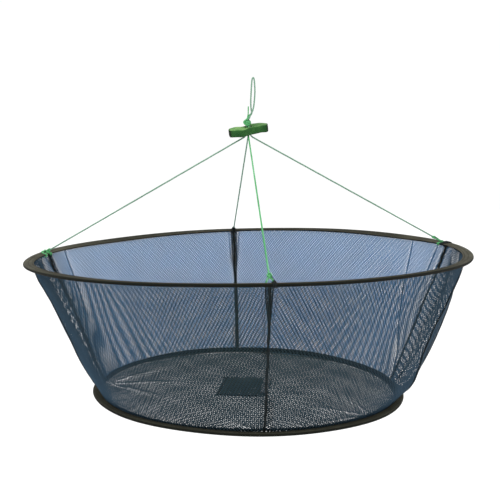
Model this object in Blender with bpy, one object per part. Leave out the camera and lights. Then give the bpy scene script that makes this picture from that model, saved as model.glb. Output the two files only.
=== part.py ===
"""Folding crab trap (drop net), modelled as it hangs from its haul loop.

Two spring-steel hoops sewn into folded tape carry a net wall in four panels and a net floor.
Four cord legs run from eyes on the upper hoop through a foam float to a knot and a loop.
Metres, +Z up, origin where a hook bears under the top of the haul loop, -Y to the front.
"""

import math

import bmesh
import bpy
from mathutils import Matrix, Vector

MM = 0.001

# Driving dimensions
TOP_OUTER_R = 0.400
BOTTOM_OUTER_R = 0.285
TOP_PLANE_Z = -0.312  # height of the upper hoop's wire
WALL_HEIGHT = 0.249  # from the upper hoop's wire to the lower one's
BOTTOM_PLANE_Z = TOP_PLANE_Z - WALL_HEIGHT
LEGS_MEET_Z = TOP_PLANE_Z + 0.209  # where the lines of the four legs meet the float's hole
CORD_R = 1.5 * MM
GAP = 0.3 * MM  # left between pieces that touch
SEGMENTS = 60  # facets of both hoops

# Hoop section
WIRE_R = 1.5 * MM
FERRULE_INNER_R = 1.8 * MM
FERRULE_OUTER_R = 2.2 * MM
CAVITY_R = 2.5 * MM
TAPE_T = 0.7 * MM
BAND_W = 19 * MM
NET_T = 0.5 * MM
SLIT_LOW = -CAVITY_R  # top of the sleeve's lower flap, above the wire's plane
FLOOR_NET_Z = SLIT_LOW + GAP + NET_T / 2
WALL_NET_Z = FLOOR_NET_Z + NET_T + GAP
SLIT_HIGH = WALL_NET_Z + NET_T / 2 + GAP
NET_GRIP = 5 * MM  # how far the nets reach into the slit
SLIT_LAP = 1 * MM  # how far the slit covers the nets before they turn down
WALL_CLEAR = 2 * MM  # from a hoop's inner edge to the wall's slope
SLOPE_DROP = 3 * MM  # from the upper slit down to the head of the slope
SLOPE_RISE = 2 * MM  # from the lower slit up to its foot
PANEL_STEP_DEG = 5  # facets of a wall panel
FERRULE_FACET = 9  # the facet that carries each hoop's ferrule
WIRE_JOINT_GAP = 1 * MM

# The four corners: name, azimuth on the upper hoop and on the lower hoop, in degrees
CORNERS = (
    ("front", -85.4, -84.3),
    ("right", 15.0, 8.3),
    ("back", 95.0, 95.0),
    ("left", 170.7, 177.4),
)
PANELS = ("front_right", "back_right", "back_left", "front_left")
SEAM_HALF_DEG = 0.75  # half the room between two wall panels, for the seam cord and the tab
SEAM_CORD_R = 1.3 * MM
SEAM_STEPS = 12
SEAM_DROP = 4 * MM  # from the head of the slope down to the seam cord's end
SEAM_RISE = 2 * MM  # from the foot of the slope up to its other end

# Tab and hitch on the upper hoop
TAB_T = 1.2 * MM
TAB_CLEAR = 0.9 * MM
TAB_HALF_WIDTH = 2.6 * MM
EYE_R = TOP_OUTER_R - 11 * MM  # radius on which the eyes stand
EYE_HALF_W = 3.3 * MM
EYE_HEIGHT = 7.5 * MM
EYE_PLAY = 1.2 * MM  # between the eye's crown and the hitch
HITCH_LENGTH = 18 * MM
HITCH_WIDTH = 5 * MM
HITCH_END = 0.87  # share of the hitch's half that the cord covers before the knot
HITCH_STEPS = 12
HITCH_LEAN = 1.5  # how late the hitch climbs: 1 is even
HITCH_ROUND = 0.9  # how early it spreads: 1 is even
LEG_KNOT_R = 4 * MM
LEG_KNOT_L = 10 * MM

# Float, haul knot and loop
LEG_HOLE_OFFSET = 2.8 * MM  # from the float's axis to each leg in its hole
LEG_BEND_R = 5 * MM
FLOAT_T = 12.5 * MM
FLOAT_HOLE_R = 7 * MM
FLOAT_EDGE_R = 2 * MM
FLOAT_CENTRE_Z = LEGS_MEET_Z + 10 * MM
FLOAT_PITCH, FLOAT_ROLL, FLOAT_YAW = 15.0, -8.0, 8.0  # degrees about X, Y and Z
HAUL_KNOT_Z = FLOAT_CENTRE_Z + 8 * MM
HAUL_KNOT_L = 25 * MM
LOOP_HALF_W = 6.5 * MM
LOOP_FOOT_HALF_W = 1.8 * MM
LOOP_STEPS = 40

# Bait pouch on the floor net
POUCH_CENTRE = (-0.0135, -0.006)
POUCH_YAW = -5.0
POUCH_LENGTH_X, POUCH_LENGTH_Y = 0.069, 0.108
POUCH_HEIGHT = 11 * MM
POUCH_WALL = 1.2 * MM
POUCH_LAP = 0.2 * MM  # how far the pocket's side walls run into it
BINDING_W = 9 * MM
BINDING_T = 0.8 * MM
ROOF_SHARE = 0.45  # share of the pocket's length that its sewn-down roof covers
FLAP_T = 1 * MM
FLAP_INSET = 2 * MM  # from the pocket's sides to the flap's
FLAP_OVERHANG = 0.8 * MM  # how far the flap runs level past the mouth
FLAP_MARGIN = 1 * MM  # of the flap's foot beyond its strip
FLAP_CREASE = 0.9 * MM  # room for the flap's crease beside the roof
FASTENER_T = 0.8 * MM
FASTENER_W = 13 * MM
FASTENER_X = 4 * MM  # from the mouth to the strips
FASTENER_INSET = 6 * MM  # from the pocket's sides to the strips' ends

MATERIALS = {
    "tape": ((0.075, 0.066, 0.045), 0.85, 0.0),
    "net": ((0.020, 0.045, 0.085), 0.7, 0.0),
    "pouch_cloth": ((0.020, 0.032, 0.034), 0.8, 0.0),
    "black_cord": ((0.010, 0.011, 0.010), 0.7, 0.0),
    "green_cord": ((0.130, 0.520, 0.210), 0.55, 0.0),
    "float_foam": ((0.060, 0.260, 0.040), 0.75, 0.0),
    "spring_steel": ((0.420, 0.420, 0.430), 0.35, 1.0),
    "fastener": ((0.012, 0.012, 0.013), 0.9, 0.0),
}


# ---------------------------------------------------------------- helpers


def material(name):
    """The named material, made on first use."""
    made = bpy.data.materials.get(name)
    if made is None:
        colour, roughness, metallic = MATERIALS[name]
        made = bpy.data.materials.new(name)
        made.use_nodes = True
        shader = made.node_tree.nodes["Principled BSDF"]
        shader.inputs["Base Color"].default_value = (*colour, 1)
        shader.inputs["Roughness"].default_value = roughness
        shader.inputs["Metallic"].default_value = metallic
    return made


def link(name, data, material_name, parent=None):
    """A new object in the scene with this data and material."""
    data.materials.append(material(material_name))
    obj = bpy.data.objects.new(name, data)
    bpy.context.scene.collection.objects.link(obj)
    obj.parent = parent
    return obj


def empty(name, location, turn_deg=0.0, parent=None):
    """A plain empty, turned about Z."""
    obj = bpy.data.objects.new(name, None)
    bpy.context.scene.collection.objects.link(obj)
    obj.location = location
    obj.rotation_euler = (0, 0, math.radians(turn_deg))
    obj.parent = parent
    return obj


def mesh_object(name, bm, material_name, parent=None):
    """Ends a bmesh: faces out, round sides smooth, and an object made of it."""
    bmesh.ops.recalc_face_normals(bm, faces=bm.faces)
    mesh = bpy.data.meshes.new(name)
    bm.to_mesh(mesh)
    bm.free()
    mesh.shade_smooth()
    mesh.set_sharp_from_angle(angle=math.radians(40))
    return link(name, mesh, material_name, parent)


def loft(name, rings, material_name, closed=False, parent=None):
    """Joins point rings of equal count in order, capped at both ends unless closed."""
    bm = bmesh.new()
    rows = [[bm.verts.new(p) for p in ring] for ring in rings]
    pairs = list(zip(rows, rows[1:]))
    if closed:
        pairs.append((rows[-1], rows[0]))
    for low, high in pairs:
        for i in range(len(low)):
            j = (i + 1) % len(low)
            bm.faces.new((low[i], low[j], high[j], high[i]))
    if not closed:
        bm.faces.new(rows[0])
        bm.faces.new(rows[-1])
    return mesh_object(name, bm, material_name, parent)


def ring_point(radius, z, azimuth):
    """A point on a hoop's polygon: on the chord between its corners."""
    step = 2 * math.pi / SEGMENTS
    whole = math.floor(azimuth / step + 1e-9)
    share = azimuth / step - whole
    a, b = whole * step, (whole + 1) * step
    first = Vector((radius * math.cos(a), radius * math.sin(a), z))
    return first.lerp(Vector((radius * math.cos(b), radius * math.sin(b), z)), max(share, 0))


def polar(radius, z, azimuth):
    """A point at a true radius and azimuth (radians)."""
    return Vector((radius * math.cos(azimuth), radius * math.sin(azimuth), z))


def hoop_sweep(name, section, plane_z, azimuths, material_name, closed):
    """Sweeps a section of (radius, z) points round the hoop's polygon."""
    rings = [[ring_point(r, plane_z + z, a) for r, z in section] for a in azimuths]
    return loft(name, rings, material_name, closed)


def arc(radius, first_deg, last_deg, steps, centre=(0.0, 0.0)):
    """Points of an arc in a plane."""
    angles = [math.radians(first_deg + (last_deg - first_deg) * i / steps) for i in range(steps + 1)]
    return [(centre[0] + radius * math.cos(a), centre[1] + radius * math.sin(a)) for a in angles]


def thickened(path, thickness):
    """The outline of a strip of even thickness along an open path of (radius, z) points."""
    sides = ([], [])
    for i, point in enumerate(path):
        before = Vector(path[max(i - 1, 0)])
        after = Vector(path[min(i + 1, len(path) - 1)])
        into = (Vector(point) - before).normalized() if i else Vector((0, 0))
        out = (after - Vector(point)).normalized() if i < len(path) - 1 else Vector((0, 0))
        along = (into + out).normalized()
        reach = thickness / 2 / max(along.dot(out if i < len(path) - 1 else into), 0.5)
        normal = Vector((-along.y, along.x)) * reach
        sides[0].append(tuple(Vector(point) + normal))
        sides[1].append(tuple(Vector(point) - normal))
    return sides[0] + sides[1][::-1]


def tube(name, points, radius, material_name, parent=None):
    """A cord's solid: a bevelled curve with filled caps through these points."""
    curve = bpy.data.curves.new(name, "CURVE")
    curve.dimensions = "3D"
    curve.bevel_depth = radius
    curve.bevel_resolution = 2
    curve.use_fill_caps = True
    spline = curve.splines.new("POLY")
    spline.points.add(len(points) - 1)
    for place, point in zip(spline.points, points):
        place.co = (*point, 1)
        place.radius = 1
    return link(name, curve, material_name, parent)


def cut_plate(name, outlines, half_width, frame, material_name):
    """A flat plate with holes: a filled 2D curve, extruded both ways and placed by a matrix."""
    curve = bpy.data.curves.new(name, "CURVE")
    curve.dimensions = "2D"
    curve.fill_mode = "BOTH"
    curve.extrude = half_width
    for outline in outlines:
        spline = curve.splines.new("POLY")
        spline.points.add(len(outline) - 1)
        for place, (x, y) in zip(spline.points, outline):
            place.co = (x, y, 0, 1)
        spline.use_cyclic_u = True
    obj = link(name, curve, material_name)
    obj.matrix_world = frame
    return obj


def lathe(name, profile, base, direction, material_name, steps=16):
    """A solid turned from (radius, height) points about an axis through base."""
    turn = direction.to_track_quat("Z", "Y").to_matrix().to_4x4()
    frame = Matrix.Translation(base) @ turn
    rings = [
        [frame @ polar(r, h, 2 * math.pi * i / steps) for i in range(steps)]
        for r, h in profile
    ]
    return loft(name, rings, material_name)


def block(name, low, high, material_name, parent=None):
    """A plain rectangular piece from its low to its high corner."""
    (x0, y0, z0), (x1, y1, z1) = low, high
    rings = [[(x0, y0, z), (x1, y0, z), (x1, y1, z), (x0, y1, z)] for z in (z0, z1)]
    return loft(name, rings, material_name, parent=parent)


# ---------------------------------------------------------------- hoops


def sleeve_section(outer_r):
    """Folded tape round the wire: flat underneath, with a slit at its inner edge for the nets."""
    wire_r = outer_r - CAVITY_R - TAPE_T
    inner_r = outer_r - BAND_W
    outside = arc(CAVITY_R + TAPE_T, -90, 120, 7, (wire_r, 0))
    inside = arc(CAVITY_R, 120, -90, 6, (wire_r, 0))
    shoulder = wire_r - 7 * MM
    return (
        [(inner_r, -CAVITY_R - TAPE_T)]
        + outside
        + [(shoulder, SLIT_HIGH + TAPE_T), (inner_r, SLIT_HIGH + TAPE_T)]
        + [(inner_r, SLIT_HIGH), (shoulder + 0.5 * MM, SLIT_HIGH)]
        + inside
        + [(inner_r, SLIT_LOW)]
    )


def make_hoop(label, outer_r, plane_z):
    """One hoop: the sleeve, the wire in it, and the split ferrule that joins the wire's ends."""
    step = 2 * math.pi / SEGMENTS
    corners = [i * step for i in range(SEGMENTS)]
    hoop_sweep(f"{label}_hoop_sleeve", sleeve_section(outer_r), plane_z, corners, "tape", True)
    wire_r = outer_r - CAVITY_R - TAPE_T
    joint = (FERRULE_FACET + 0.5) * step
    opening = WIRE_JOINT_GAP / 2 / wire_r
    between = [(FERRULE_FACET + 1 + i) * step for i in range(SEGMENTS)]
    ends = [joint + opening] + between + [joint - opening + 2 * math.pi]
    wire = arc(WIRE_R, 0, 360, 8, (wire_r, 0))[:-1]
    hoop_sweep(f"{label}_hoop_wire", wire, plane_z, ends, "spring_steel", False)
    outside = arc(FERRULE_OUTER_R, 12, 348, 14, (wire_r, 0))
    inside = arc(FERRULE_INNER_R, 346, 14, 14, (wire_r, 0))
    span = [(FERRULE_FACET + 0.08) * step, (FERRULE_FACET + 0.92) * step]
    hoop_sweep(f"{label}_hoop_ferrule", outside + inside, plane_z, span, "spring_steel", False)


# ---------------------------------------------------------------- nets


def corner_azimuth(index, share):
    """Azimuth of a seam, in radians, at a share of the way down the wall."""
    _, top, bottom = CORNERS[index % 4]
    turns = 360 * (index // 4)
    return math.radians(top + (bottom - top) * share + turns)


def wall_path():
    """(radius, z, share of the way down) along the wall, from slit to slit."""
    top_edge, bottom_edge = TOP_OUTER_R - BAND_W, BOTTOM_OUTER_R - BAND_W
    top_z, bottom_z = TOP_PLANE_Z + WALL_NET_Z, BOTTOM_PLANE_Z + WALL_NET_Z
    fall = bottom_z - top_z + SLOPE_DROP + SLOPE_RISE
    slope = [
        (top_edge - WALL_CLEAR + (bottom_edge - top_edge) * s, top_z - SLOPE_DROP + fall * s, s)
        for s in (0, 0.33, 0.67, 1)
    ]
    return (
        [(top_edge + NET_GRIP, top_z, 0), (top_edge - SLIT_LAP, top_z, 0)]
        + slope
        + [(bottom_edge - SLIT_LAP, bottom_z, 1), (bottom_edge + NET_GRIP, bottom_z, 1)]
    )


def make_wall():
    """Four net panels between the hoops, and the seam cord in the room between each two."""
    path = wall_path()
    outline = thickened([(r, z) for r, z, _ in path], NET_T)
    shares = [s for _, _, s in path]
    shares += shares[::-1]
    for index, name in enumerate(PANELS):
        rings = []
        steps = round((CORNERS[(index + 1) % 4][1] - CORNERS[index][1]) % 360 / PANEL_STEP_DEG)
        for i in range(steps + 1):
            ring = []
            for (radius, z), share in zip(outline, shares):
                low = corner_azimuth(index, share) + math.radians(SEAM_HALF_DEG)
                high = corner_azimuth(index + 1, share) - math.radians(SEAM_HALF_DEG)
                ring.append(polar(radius, z, low + (high - low) * i / steps))
            rings.append(ring)
        loft(f"side_net_{name}", rings, "net")
    top, bottom = path[2], path[5]
    fall = bottom[1] - top[1] + SEAM_DROP + SEAM_RISE
    for index, (name, _, _) in enumerate(CORNERS):
        points = []
        for i in range(SEAM_STEPS + 1):
            share = i / SEAM_STEPS
            radius = top[0] + (bottom[0] - top[0]) * share - SEAM_CORD_R
            z = top[1] - SEAM_DROP + fall * share
            points.append(polar(radius, z, corner_azimuth(index, share)))
        tube(f"seam_cord_{name}", points, SEAM_CORD_R, "black_cord")


def make_floor_net():
    """The net floor, gripped in the lower hoop's slit."""
    radius = BOTTOM_OUTER_R - BAND_W + NET_GRIP
    z = BOTTOM_PLANE_Z + FLOOR_NET_Z
    step = 2 * math.pi / SEGMENTS
    rings = [
        [polar(radius, z + side * NET_T / 2, i * step) for i in range(SEGMENTS)]
        for side in (-1, 1)
    ]
    loft("floor_net", rings, "net")


# ---------------------------------------------------------------- bridle


def tab_outlines():
    """A webbing tab's figure of eight: a window for the hoop's band and an eye above it."""
    inner, outer = TOP_OUTER_R - BAND_W - TAB_CLEAR, TOP_OUTER_R + TAB_CLEAR
    low = -CAVITY_R - TAPE_T - TAB_CLEAR
    high = CAVITY_R + TAPE_T + TAB_CLEAR
    window = [(inner, low), (outer, low), (outer, high), (inner, high)]
    t = TAB_T
    crown = arc(EYE_HALF_W + t, 0, 180, 8, (EYE_R, high + EYE_HEIGHT - EYE_HALF_W + t))
    outside = (
        [(inner - t, low - t), (outer + t, low - t), (outer + t, high + t)]
        + [(EYE_R + EYE_HALF_W + t, high + t)]
        + crown
        + [(EYE_R - EYE_HALF_W - t, high + t), (inner - t, high + t)]
    )
    eye = [(EYE_R + EYE_HALF_W, high + t)]
    eye += arc(EYE_HALF_W, 0, 180, 8, (EYE_R, high + EYE_HEIGHT - EYE_HALF_W + t))
    eye += [(EYE_R - EYE_HALF_W, high + t)]
    return [outside, window, eye]


def radial_frame(azimuth):
    """Local X outward, Y up and Z along the hoop, at the upper hoop's plane."""
    outward = Vector((math.cos(azimuth), math.sin(azimuth), 0))
    up = Vector((0, 0, 1))
    along = outward.cross(up)
    frame = Matrix((outward, up, along)).transposed().to_4x4()
    return Matrix.Translation((0, 0, TOP_PLANE_Z)) @ frame


def eye_point():
    """(radius, z) where the hitch cord bears under the eye's crown."""
    high = CAVITY_R + TAPE_T + TAB_CLEAR
    return EYE_R, TOP_PLANE_Z + high + TAB_T + EYE_HEIGHT - CORD_R - EYE_PLAY


def leg_direction():
    """Unit (radius, z) direction of a leg, from its eye up to the float."""
    radius, z = eye_point()
    return Vector((LEG_HOLE_OFFSET - radius, LEGS_MEET_Z - z)).normalized()


def leg_route(azimuth, start):
    """Points of one leg: straight up to the float, a bend, then up its hole to the haul knot."""
    radius, z = eye_point()
    along = leg_direction()
    turn = math.pi / 2 - math.atan2(along.y, -along.x)
    tangent = LEG_BEND_R * math.tan(turn / 2)
    corner = Vector((LEG_HOLE_OFFSET, LEGS_MEET_Z))
    first = Vector((radius, z)) + along * start
    bend_from = corner - along * tangent
    straight = [first.lerp(bend_from, i / 8) for i in range(9)]
    centre = Vector((corner.x + LEG_BEND_R, corner.y + tangent))
    heading = 180 + math.degrees(turn)
    bend = [Vector(p) for p in arc(LEG_BEND_R, heading, 180, 6, centre)][1:]
    end = Vector((LEG_HOLE_OFFSET, HAUL_KNOT_Z - GAP))
    return [polar(p.x, p.y, azimuth) for p in straight + bend + [end]]


def hitch_route(azimuth):
    """The hairpin of cord from the leg's knot through the eye and back."""
    radius, z = eye_point()
    along = leg_direction()
    origin = polar(radius, z, azimuth)
    up_leg = polar(along.x, along.y, azimuth)
    sideways = Vector((-math.sin(azimuth), math.cos(azimuth), 0))
    points = []
    for i in range(-HITCH_STEPS, HITCH_STEPS + 1):
        share = HITCH_END * i / HITCH_STEPS
        across = math.copysign(HITCH_WIDTH * math.sin(math.pi * abs(share) ** HITCH_ROUND), share)
        points.append(origin + sideways * across + up_leg * HITCH_LENGTH * abs(share) ** HITCH_LEAN)
    return points


def make_bridle():
    """At each corner a tab, a hitch through its eye, the knot above it and the leg."""
    outlines = tab_outlines()
    radius, z = eye_point()
    along = leg_direction()
    knot_from = HITCH_LENGTH * HITCH_END**HITCH_LEAN + CORD_R
    knot = [(0.6, 0), (0.95, 0.2), (1, 0.5), (0.85, 0.8), (0.5, 1)]
    profile = [(r * LEG_KNOT_R, h * LEG_KNOT_L) for r, h in knot]
    for index, (name, _, _) in enumerate(CORNERS):
        azimuth = corner_azimuth(index, 0)
        frame = radial_frame(azimuth)
        cut_plate(f"hoop_tab_{name}", outlines, TAB_HALF_WIDTH, frame, "black_cord")
        tube(f"leg_hitch_{name}", hitch_route(azimuth), CORD_R, "green_cord")
        base = polar(radius + along.x * knot_from, z + along.y * knot_from, azimuth)
        direction = polar(along.x, along.y, azimuth)
        lathe(f"leg_knot_{name}", profile, base, direction, "green_cord", 12)
        start = knot_from + LEG_KNOT_L + GAP
        tube(f"bridle_leg_{name}", leg_route(azimuth, start), CORD_R, "green_cord")


def make_float():
    """The foam float: a flat boat shape with a hole for the legs, tilted as it hangs."""
    half_length, end_half, mid_half, mid_run = 36 * MM, 6 * MM, 17 * MM, 8 * MM
    quarter = [(half_length, end_half), (mid_run, mid_half)]
    upper = quarter + [(-x, y) for x, y in quarter[::-1]]
    outline = upper + [(x, -y) for x, y in upper[::-1]]
    rings = [[(x, y, side * FLOAT_T / 2) for x, y in outline] for side in (-1, 1)]
    body = loft("float", rings, "float_foam")
    bevel = body.modifiers.new("rounded edges", "BEVEL")
    bevel.width = FLOAT_EDGE_R
    bevel.segments = 2
    bevel.limit_method = "ANGLE"
    bevel.angle_limit = math.radians(25)
    drill = lathe(
        "float_drill",
        [(FLOAT_HOLE_R, -FLOAT_T), (FLOAT_HOLE_R, FLOAT_T)],
        Vector(),
        Vector((0, 0, 1)),
        "float_foam",
        24,
    )
    drill.hide_render = True
    drill.display_type = "WIRE"
    bore = body.modifiers.new("hole", "BOOLEAN")
    bore.operation = "DIFFERENCE"
    bore.solver = "EXACT"
    bore.object = drill
    for obj in (body, drill):
        obj.location = (0, 0, FLOAT_CENTRE_Z)
        obj.rotation_euler = [math.radians(a) for a in (FLOAT_PITCH, FLOAT_ROLL, FLOAT_YAW)]


def make_haul_end():
    """The knot above the float and the loop that the trap hangs by."""
    shape = [(3.9, 0), (7.2, 0.1), (8.8, 0.3), (8.0, 0.55), (5.0, 0.8), (3.6, 1)]
    profile = [(r * MM, h * HAUL_KNOT_L) for r, h in shape]
    base = Vector((0, 0, HAUL_KNOT_Z))
    lathe("haul_knot", profile, base, Vector((0, 0, 1)), "green_cord")
    foot = HAUL_KNOT_Z + HAUL_KNOT_L + GAP
    crown = CORD_R
    points = []
    for i in range(LOOP_STEPS + 1):
        share = i / LOOP_STEPS
        rise = math.sin(math.pi * share) ** 0.62
        spread = math.sin(math.pi * share) ** 1.1
        width = LOOP_FOOT_HALF_W + (LOOP_HALF_W - LOOP_FOOT_HALF_W) * spread
        x = -width * math.cos(math.pi * share)
        points.append(Vector((x, 0, foot + (crown - foot) * rise)))
    tube("haul_loop", points, CORD_R, "green_cord")


# ---------------------------------------------------------------- bait pouch


def pocket_rings(hx, hy):
    """Sections along Y of the pocket: a floor, a back wall and a roof over part of its length."""
    wall, height = POUCH_WALL, POUCH_HEIGHT
    roof_end = -hx + POUCH_LENGTH_X * ROOF_SHARE
    hollow = [(hx, 0), (hx, wall), (-hx + wall, wall), (-hx + wall, height - wall)]
    hollow += [(roof_end, height - wall), (roof_end, height), (-hx, height), (-hx, 0)]
    return [[(x, y, z) for x, z in hollow] for y in (wall - hy, hy - wall)]


def make_pouch():
    """A flat pocket sewn to the floor net, its mouth to +X under a flap held by touch fastener."""
    floor_top = BOTTOM_PLANE_Z + FLOOR_NET_Z + NET_T / 2 + GAP
    base = empty("pouch_base", (*POUCH_CENTRE, floor_top), POUCH_YAW)
    hx, hy = POUCH_LENGTH_X / 2, POUCH_LENGTH_Y / 2
    pocket = loft("bait_pouch", pocket_rings(hx, hy), "pouch_cloth", parent=base)
    for side in (-1, 1):
        inner = side * (hy - POUCH_WALL - POUCH_LAP)
        low, high = (-hx, min(inner, side * hy), 0), (hx, max(inner, side * hy), POUCH_HEIGHT)
        end = block(f"pocket_side_{side}", low, high, "pouch_cloth", base)
        end.hide_render = True
        end.display_type = "WIRE"
        join = pocket.modifiers.new("side", "BOOLEAN")
        join.operation = "UNION"
        join.solver = "EXACT"
        join.object = end
    near, far = GAP, GAP + BINDING_W
    outline = [(hx, hy + near), (-hx - near, hy + near), (-hx - near, -hy - near), (hx, -hy - near)]
    outline += [(hx, -hy - far), (-hx - far, -hy - far), (-hx - far, hy + far), (hx, hy + far)]
    rings = [[(x, y, z) for x, y in outline] for z in (0, BINDING_T)]
    loft("pouch_binding", rings, "tape", parent=base)
    crease_x = -hx + POUCH_LENGTH_X * ROOF_SHARE + FLAP_CREASE
    crease_z = POUCH_HEIGHT + GAP + FLAP_T / 2
    strip_x = hx + FASTENER_X
    foot_z = 2 * FASTENER_T + 2 * GAP + FLAP_T / 2
    wide = hy - FASTENER_INSET
    low, high = (strip_x, -wide, 0), (strip_x + FASTENER_W, wide, FASTENER_T)
    block("fastener_loop_strip", low, high, "fastener", base)
    hinge = empty("flap_hinge", (crease_x, 0, crease_z), parent=base)
    hook_z = FASTENER_T + GAP - crease_z
    low = (strip_x - crease_x, -wide, hook_z)
    high = (strip_x + FASTENER_W - crease_x, wide, hook_z + FASTENER_T)
    block("fastener_hook_strip", low, high, "fastener", hinge)
    far_x = hx - crease_x + FLAP_OVERHANG
    path = [(0, 0), (far_x, 0), (strip_x - crease_x - FLAP_MARGIN / 2, foot_z - crease_z)]
    path += [(strip_x + FASTENER_W + FLAP_MARGIN - crease_x, foot_z - crease_z)]
    section = thickened(path, FLAP_T)
    rings = [[(x, y, z) for x, z in section] for y in (-hy + FLAP_INSET, hy - FLAP_INSET)]
    loft("pouch_flap", rings, "pouch_cloth", parent=hinge)


def main():
    for obj in list(bpy.data.objects):
        bpy.data.objects.remove(obj)
    make_hoop("top", TOP_OUTER_R, TOP_PLANE_Z)
    make_hoop("bottom", BOTTOM_OUTER_R, BOTTOM_PLANE_Z)
    make_wall()
    make_floor_net()
    make_bridle()
    make_float()
    make_haul_end()
    make_pouch()
    bpy.context.view_layer.update()


main()
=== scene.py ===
"""The looks of the folding crab trap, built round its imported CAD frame. Metres, +Z up, -Y to the front."""

import math

import bpy
import numpy as np
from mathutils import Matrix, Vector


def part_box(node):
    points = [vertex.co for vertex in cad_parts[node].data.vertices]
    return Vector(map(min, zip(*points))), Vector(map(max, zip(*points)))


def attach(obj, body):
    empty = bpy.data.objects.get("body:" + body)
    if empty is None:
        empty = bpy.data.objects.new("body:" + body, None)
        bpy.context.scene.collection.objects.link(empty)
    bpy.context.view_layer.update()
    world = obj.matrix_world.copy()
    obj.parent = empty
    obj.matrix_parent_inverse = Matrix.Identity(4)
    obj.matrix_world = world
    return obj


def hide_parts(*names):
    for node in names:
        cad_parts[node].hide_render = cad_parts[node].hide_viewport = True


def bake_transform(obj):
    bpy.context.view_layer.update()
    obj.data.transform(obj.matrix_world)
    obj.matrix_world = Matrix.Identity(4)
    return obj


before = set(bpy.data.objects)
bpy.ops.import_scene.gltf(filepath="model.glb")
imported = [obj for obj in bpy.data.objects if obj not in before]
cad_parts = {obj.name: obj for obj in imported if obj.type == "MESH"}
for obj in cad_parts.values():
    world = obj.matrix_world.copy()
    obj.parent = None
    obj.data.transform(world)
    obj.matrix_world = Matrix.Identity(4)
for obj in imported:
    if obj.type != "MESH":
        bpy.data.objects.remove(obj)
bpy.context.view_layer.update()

MM = 0.001

# Cords
CORD_R = 1.5 * MM
CORD_LAY = 11 * MM  # length of one turn of a twisted cord
FINE_R = 1.1 * MM  # lashing and seam cord

# Netting
MESH_ACROSS = 5.4 * MM  # width of a front mesh along the upper hoop
MESH_DOWN = 6.3 * MM  # its height
BACK_MESH = 0.75  # size of the back panels' meshes, as a share of the front's
TWINE_R = 0.62 * MM
BACK_TWINE_R = 0.90 * MM
END_STOUTER = 0.5  # how much stouter the front panels' twines are towards the ends of the wall
GATHER_TWINE_R = 0.55 * MM
PLEAT_R = 0.95 * MM
SELVEDGE_R = 0.95 * MM
TWINE_LIFT = 0.3 * MM  # of one family of twines off the middle of the net
TWINE_FLAT = 0.6  # thickness of a twine as a share of its width
TWINE_STEP = 4.8 * MM  # between the rings of a twine
FLOOR_MESH = 4.3 * MM
FLOOR_TWINE_R = 0.92 * MM
FLOOR_STEP = 7 * MM

# Hoops
TAPE_STEPS = 420
BAND_W = 19 * MM
TAPE_EDGE_T = 2.2 * MM
TAPE_BULGE_R = 2.9 * MM
STITCH_STEP = 5 * MM
STITCH_R = 0.38 * MM
WIRE_R = 1.5 * MM
FERRULE_R = 2.2 * MM


# ---- places read from the frame


def node_points(name):
    """The corner points of a CAD node."""
    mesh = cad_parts[name].data
    points = np.zeros(len(mesh.vertices) * 3)
    mesh.vertices.foreach_get("co", points)
    return points.reshape(-1, 3)


def end_of(name, top):
    """The middle of a CAD node's highest or lowest few millimetres."""
    points = node_points(name)
    z = points[:, 2]
    near = z > z.max() - 2 * MM if top else z < z.min() + 2 * MM
    return points[near].mean(0)


def bearing(point):
    """Azimuth of a point, in degrees."""
    return math.degrees(math.atan2(point[1], point[0]))


def middle(name):
    """The middle of a CAD node's box."""
    low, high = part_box(name)
    return (np.array(low) + np.array(high)) / 2


UP = np.array((0.0, 0.0, 1.0))
CORNERS = ("front", "right", "back", "left")
TOP_Z = middle("top_hoop_wire")[2]
BOTTOM_Z = middle("bottom_hoop_wire")[2]
TOP_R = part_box("top_hoop_sleeve")[1][0]
BOTTOM_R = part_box("bottom_hoop_sleeve")[1][0]
FLOOR_Z = middle("floor_net")[2]
FLOAT_AT = middle("float")
LEGS_MEET_Z = FLOAT_AT[2] - 10 * MM  # where the lines of the four legs meet under the float
KNOT_FOOT_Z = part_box("haul_knot")[0][2]
EYE_AT = {name: end_of(f"leg_hitch_{name}", False) for name in CORNERS}
LEG_HIGH = {name: end_of(f"bridle_leg_{name}", True) for name in CORNERS}
SEAM_TOP = {name: bearing(end_of(f"seam_cord_{name}", True)) for name in CORNERS}
SEAM_BOTTOM = {name: bearing(end_of(f"seam_cord_{name}", False)) for name in CORNERS}
SEAM_TOP["right"] -= 4.5  # this seam is sewn a little to the front of its tab


# ---- camera, light and floor


LENS_MM = 64.84
CAMERA_AT = (0.003, -1.634, TOP_Z + 0.196)
CAMERA_DOWN = 6.778  # degrees below the horizon
STUDIO_FLOOR_Z = -1.25
STUDIO_FLOOR_R = 14
# (name, place, size, power, turn in degrees) of each light
LIGHTS = (("key", (-0.9, -1.5, 1.5), 1.6, 7, (42, 0, -30)), ("top", (0.4, 0.3, 2.2), 2.6, 9, (0, 0, 0)))


def make_camera():
    """The photograph's view: a little above the upper hoop, looking slightly down."""
    data = bpy.data.cameras.new("camera")
    data.lens = LENS_MM
    data.sensor_width = 36
    data.clip_end = 40
    camera = bpy.data.objects.new("camera", data)
    bpy.context.scene.collection.objects.link(camera)
    camera.location = CAMERA_AT
    camera.rotation_euler = (math.radians(90 - CAMERA_DOWN), 0, 0)
    bpy.context.scene.camera = camera


def area_light(name, location, size, power, turn):
    """A square soft light."""
    data = bpy.data.lights.new(name, "AREA")
    data.size = size
    data.energy = power
    light = bpy.data.objects.new(name, data)
    light.location = location
    light.rotation_euler = [math.radians(a) for a in turn]
    bpy.context.scene.collection.objects.link(light)


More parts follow.
